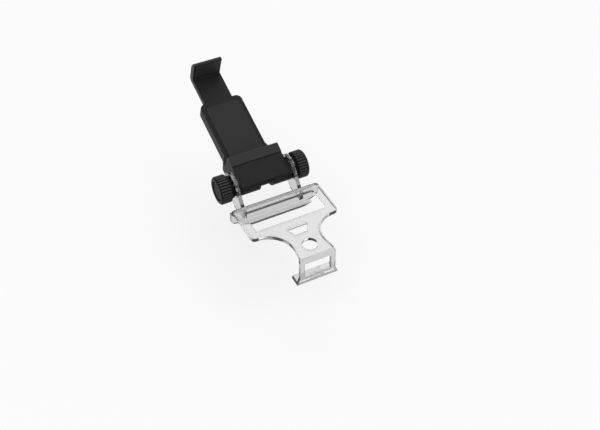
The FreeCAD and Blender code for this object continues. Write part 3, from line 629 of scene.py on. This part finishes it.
def makeBolt():
    low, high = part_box("pivot_bolt")
    centre = middle("pivot_bolt")
    start, end = low[0], high[0]
    radius, core, pitch, lap = (boltShape[word] * mm for word in ("radius", "core", "pitch", "lap"))
    shoulder = start + boltShape["head"] * mm
    neck = end - boltShape["thread"] * mm
    shape = bmesh.new()
    alongX = Matrix.Rotation(math.radians(90), 4, "Y")

    def rim(sides, size, x):
        ring = bmesh.ops.create_circle(shape, cap_ends=False, segments=sides, radius=size)["verts"]
        bmesh.ops.transform(shape, verts=ring, matrix=Matrix.Translation((x, centre.y, centre.z)) @ alongX)
        return list(dict.fromkeys(edge for vert in ring for edge in vert.link_edges))

    def rod(sides, size, first, last):
        # A prism along X with both ends closed, of which the first end's edges are handed back
        rims = (rim(sides, size, first), rim(sides, size, last))
        bmesh.ops.bridge_loops(shape, edges=rims[0] + rims[1])
        for edges in rims:
            bmesh.ops.contextual_create(shape, geom=edges)
        return rims[0]

    outer = rod(6, boltShape["flats"] * mm / math.sqrt(3), start, shoulder)
    bmesh.ops.bevel(shape, geom=outer, offset=boltShape["chamfer"] * mm, offset_type="OFFSET",
                    affect="EDGES", segments=2, profile=0.5, material=-1, clamp_overlap=True)
    rod(boltShape["sides"], radius, shoulder - lap, neck)
    rod(boltShape["sides"], core, neck - lap, end)

    # The thread's ridge is a small triangle spun forwards along the shank
    ridge = boltShape["ridge"] * mm
    foot = core - boltShape["ridgeSunk"] * mm
    perTurn = boltShape["perTurn"]
    steps = int((end - neck - pitch) / pitch * perTurn)
    spots = ((neck, foot), (neck + ridge / 2, radius), (neck + ridge, foot))
    verts = [shape.verts.new((x, centre.y + out, centre.z)) for x, out in spots]
    face = shape.faces.new(verts)
    bmesh.ops.spin(shape, geom=[face] + list(face.edges) + verts, cent=centre, axis=(1, 0, 0),
                   dvec=(pitch / perTurn, 0, 0), angle=math.tau * steps / perTurn, steps=steps,
                   use_merge=False)
    bmesh.ops.recalc_face_normals(shape, faces=shape.faces)
    mesh = bpy.data.meshes.new("threadedBolt")
    shape.to_mesh(mesh)
    shape.free()
    piece = finishPiece("threadedBolt", mesh, "pivot_bolt")
    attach(piece, bodyOf["pivot_bolt"])


makeBolt()
print("bolt ready")


# Floor and light: distances here are in metres, apart from the drop below the clip
studio = {
    "floorGrey": 244,
    "floorRough": 0.85,
    "floorTooth": 60.0,
    "toothRough": 0.05,
    "floorGlow": 0.68,
    "farGlow": 0.95,
    "fadeStart": 0.12,
    "fadeEnd": 1.5,
    "floorDrop": 33.0,
    "floorSize": 3.0,
    "skyLevel": 0.64,
    "skySeen": 0.97,
    "lamps": (
        {"name": "key", "from": (-0.5, -0.35, 0.9), "size": 0.8, "power": 3.2},
        {"name": "fill", "from": (0.42, -0.45, 0.8), "size": 0.6, "power": 1.0},
        {"name": "rim", "from": (0.37, 0.61, 0.84), "size": 0.6, "power": 1.9},
    ),
}


def lookedAt(network):
    # 1 for the camera's own rays and for those that come by way of gloss or clear plastic
    path = network.add("ShaderNodeLightPath")
    rays = ("Is Camera Ray", "Is Glossy Ray", "Is Transmission Ray")
    camera, glossy, clear = (Signal(network, path.outputs[ray]) for ray in rays)
    return (camera + glossy + clear) > 0.5


def makeFloor():
    shape = bmesh.new()
    bmesh.ops.create_grid(shape, x_segments=2, y_segments=2, size=studio["floorSize"])
    bmesh.ops.translate(shape, verts=shape.verts, vec=(0, 0, cadLow.z - studio["floorDrop"] * mm))
    mesh = bpy.data.meshes.new("floor")
    shape.to_mesh(mesh)
    shape.free()
    finish = Finish("floorPaper")
    tooth = finish.noise(studio["floorTooth"], detail=2.0)
    finish.set(
        Base_Color=grey(studio["floorGrey"]),
        Roughness=tooth * studio["toothRough"] + studio["floorRough"],
    )
    # What looks at the paper finds it nearly white: a faint shadow is left near the clip, and none far off
    across, along = finish.axis("X"), finish.axis("Y")
    away = finish.ramp((across * across + along * along) ** 0.5, studio["fadeStart"], studio["fadeEnd"])
    shine = away * (studio["farGlow"] - studio["floorGlow"]) + studio["floorGlow"]
    sockets = {0: lookedAt(finish) * shine, 1: finish.surface, 2: finish.signal("ShaderNodeEmission")}
    finish.feed(finish.output, {"Surface": finish.signal("ShaderNodeMixShader", sockets=sockets)})
    floor = linkPiece("floor", mesh, finish.material)


def makeSky():
    world = bpy.data.worlds.new("studioSky")
    bpy.context.scene.world = world
    world.use_nodes = True
    sky = Network(world.node_tree)
    level = lookedAt(sky) * (studio["skySeen"] - studio["skyLevel"]) + studio["skyLevel"]
    light = sky.signal("ShaderNodeBackground", sockets={"Color": grey(255), "Strength": level})
    sky.add("ShaderNodeOutputWorld", sockets={"Surface": light})


def makeLamps():
    for row in studio["lamps"]:
        data = bpy.data.lights.new(row["name"], "AREA")
        data.shape = "SQUARE"
        data.size = row["size"]
        data.energy = row["power"]
        lamp = bpy.data.objects.new(row["name"], data)
        bpy.context.scene.collection.objects.link(lamp)
        lamp.location = Vector(row["from"])
        lamp.rotation_mode = "QUATERNION"
        lamp.rotation_quaternion = Vector(row["from"]).to_track_quat("Z", "Y")


makeFloor()
makeSky()
makeLamps()
bpy.context.scene.view_settings.view_transform = "Standard"
print("studio ready")
